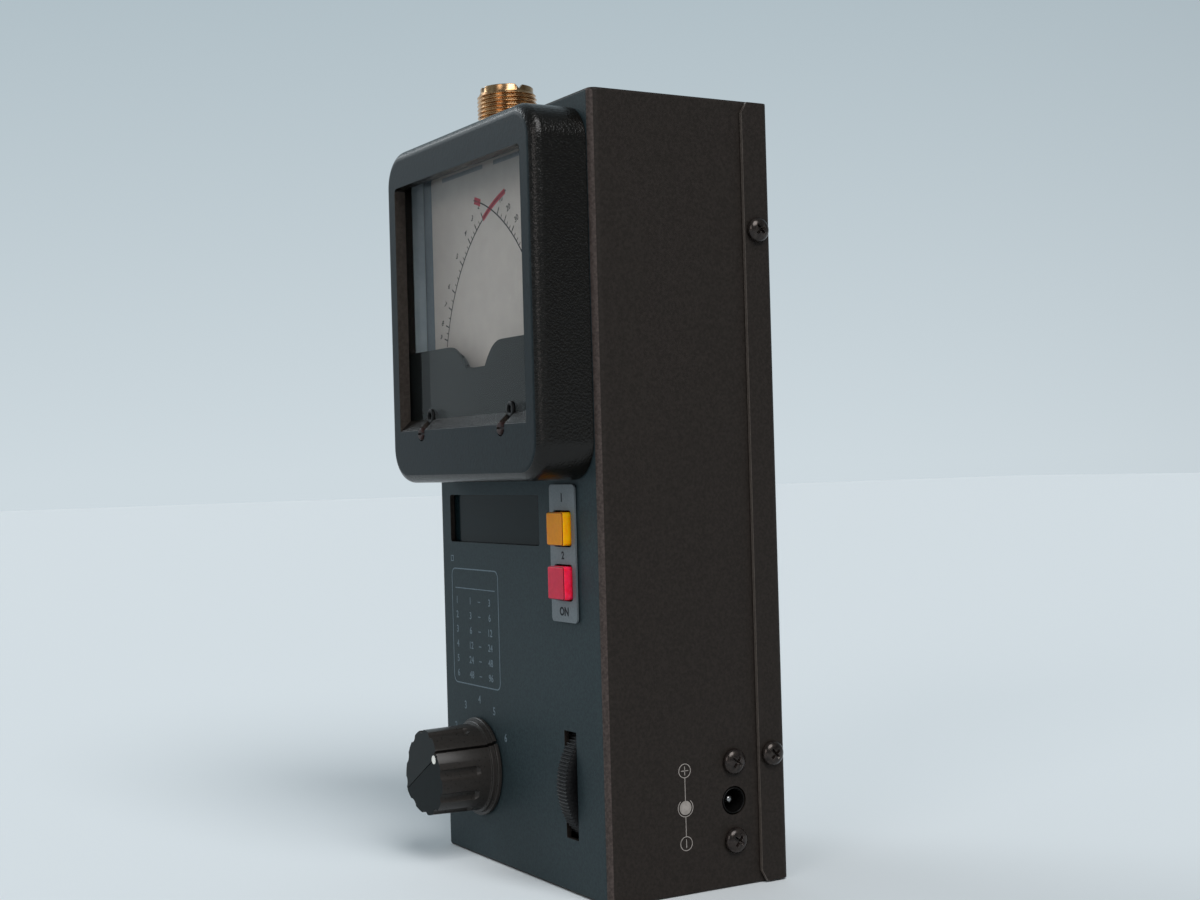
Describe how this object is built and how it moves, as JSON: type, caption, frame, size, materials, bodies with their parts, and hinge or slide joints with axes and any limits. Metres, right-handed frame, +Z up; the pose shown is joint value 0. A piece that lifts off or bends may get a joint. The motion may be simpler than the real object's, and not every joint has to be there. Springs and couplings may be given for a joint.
{
  "type": "antenna analyzer",
  "caption": "Hand-held antenna analyzer with a crossed-needle meter, frequency display, push buttons, band knob, tuning thumbwheel, antenna connector and power jack.",
  "frame": {"origin": "middle of the case's flat bottom face, on which the analyzer stands", "axes": "+Z up along the case, towards the antenna connector; the front panel with the meter faces -Y; +X is the right side seen from the front, with the power jack"},
  "size_m": [0.0926, 0.066, 0.2017],
  "materials": {
    "case_front": "dark slate paint, fine texture",
    "case_cover": "brown-black paint, fine texture",
    "black_screw": "blackened steel",
    "gold_plate": "gold-coloured plating",
    "white_insulator": "white plastic",
    "bright_screw": "nickel plated",
    "black_moulding": "black moulded plastic",
    "clear_window": "clear",
    "dial_white": "matt white print",
    "brass_hardware": "plain brass",
    "yoke_steel": "plain steel",
    "coil_copper": "copper wire on a frame",
    "needle_black": "black painted",
    "adjuster_brown": "dark brown plastic",
    "smoked_window": "smoked clear plastic",
    "module_metal": "plain metal frame",
    "plate_silver": "satin",
    "cap_orange": "glossy translucent",
    "cap_red": "glossy translucent",
    "black_plastic": "black plastic",
    "steel_parts": "plain steel",
    "capacitor_body": "white plastic",
    "circuit_board": "green board",
    "cell_jacket": "plain jacket"
  },
  "bodies": {
    "case": {"front_shell": "case_front", "rear_cover": "case_cover", "cover_screw_right_lower": "black_screw", "cover_screw_right_upper": "black_screw", "cover_screw_left_lower": "black_screw", "cover_screw_left_upper": "black_screw", "jack_screw_lower": "black_screw", "jack_screw_upper": "black_screw", "connector_shell": "gold_plate", "connector_contact": "gold_plate", "connector_insulator": "white_insulator", "connector_screw_1": "bright_screw", "connector_screw_2": "bright_screw", "connector_screw_3": "bright_screw", "connector_screw_4": "bright_screw", "meter_bezel": "black_moulding", "meter_base": "black_moulding", "dial_mask": "black_moulding", "meter_window": "clear_window", "dial_plate": "dial_white", "meter_nut_left": "brass_hardware", "meter_nut_right": "brass_hardware", "board_spacer_lower_left": "brass_hardware", "board_spacer_lower_right": "brass_hardware", "board_spacer_upper_left": "brass_hardware", "board_spacer_upper_right": "brass_hardware", "band_switch_nut": "brass_hardware", "movement_frame_left": "yoke_steel", "movement_frame_right": "yoke_steel", "display_filter": "smoked_window", "display_module": "module_metal", "button_plate": "plate_silver", "gate_switch": "black_plastic", "power_switch": "black_plastic", "power_jack": "black_plastic", "battery_holder": "black_plastic", "band_switch": "black_plastic", "tuning_bracket": "steel_parts", "power_jack_pin": "steel_parts", "tuning_capacitor": "capacitor_body", "main_board": "circuit_board", "battery_cell_1": "cell_jacket", "battery_cell_2": "cell_jacket", "battery_cell_3": "cell_jacket", "battery_cell_4": "cell_jacket", "battery_cell_5": "cell_jacket", "battery_cell_6": "cell_jacket"},
    "knob": {"band_knob": "black_plastic", "band_switch_shaft": "steel_parts"},
    "thumbwheel": {"tuning_wheel": "black_plastic", "tuning_shaft": "steel_parts"},
    "gate_button": {"gate_button": "cap_orange"},
    "power_button": {"power_button": "cap_red"},
    "left_needle": {"needle_left": "needle_black", "moving_coil_left": "coil_copper"},
    "right_needle": {"needle_right": "needle_black", "moving_coil_right": "coil_copper"},
    "left_adjuster": {"zero_adjuster_left": "adjuster_brown"},
    "right_adjuster": {"zero_adjuster_right": "adjuster_brown"}
  },
  "joints": [
    {"name": "band_knob_turn", "type": "hinge", "parent": "case", "child": "knob", "pos_m": [-0.0216, -0.0245, 0.0237], "axis": [0, 1, 0], "range_deg": [-150, 0]},
    {"name": "tuning_wheel_turn", "type": "hinge", "parent": "case", "child": "thumbwheel", "pos_m": [0.026, -0.0104, 0.0255], "axis": [1, 0, 0], "range_deg": [-90, 90]},
    {"name": "gate_button_press", "type": "slide", "parent": "case", "child": "gate_button", "axis": [0, 1, 0], "range_m": [0, 0.0018], "stiffness_N_per_m": 500, "springref_m": -0.001},
    {"name": "power_button_press", "type": "slide", "parent": "case", "child": "power_button", "axis": [0, 1, 0], "range_m": [0, 0.0018], "stiffness_N_per_m": 500, "springref_m": -0.001},
    {"name": "needle_left_swing", "type": "hinge", "parent": "case", "child": "left_needle", "pos_m": [-0.02151, -0.0245, 0.12049], "axis": [0, -1, 0], "range_deg": [0, 65], "stiffness_Nm_per_rad": 0.0003, "springref_deg": -28.65},
    {"name": "needle_right_swing", "type": "hinge", "parent": "case", "child": "right_needle", "pos_m": [0.02151, -0.0245, 0.12049], "axis": [0, 1, 0], "range_deg": [0, 65], "stiffness_Nm_per_rad": 0.0003, "springref_deg": -28.65},
    {"name": "zero_adjuster_left_turn", "type": "hinge", "parent": "case", "child": "left_adjuster", "pos_m": [-0.02211, -0.0245, 0.10979], "axis": [0, 1, 0], "range_deg": [-90, 90]},
    {"name": "zero_adjuster_right_turn", "type": "hinge", "parent": "case", "child": "right_adjuster", "pos_m": [0.02211, -0.0245, 0.10979], "axis": [0, 1, 0], "range_deg": [-90, 90]}
  ]
}
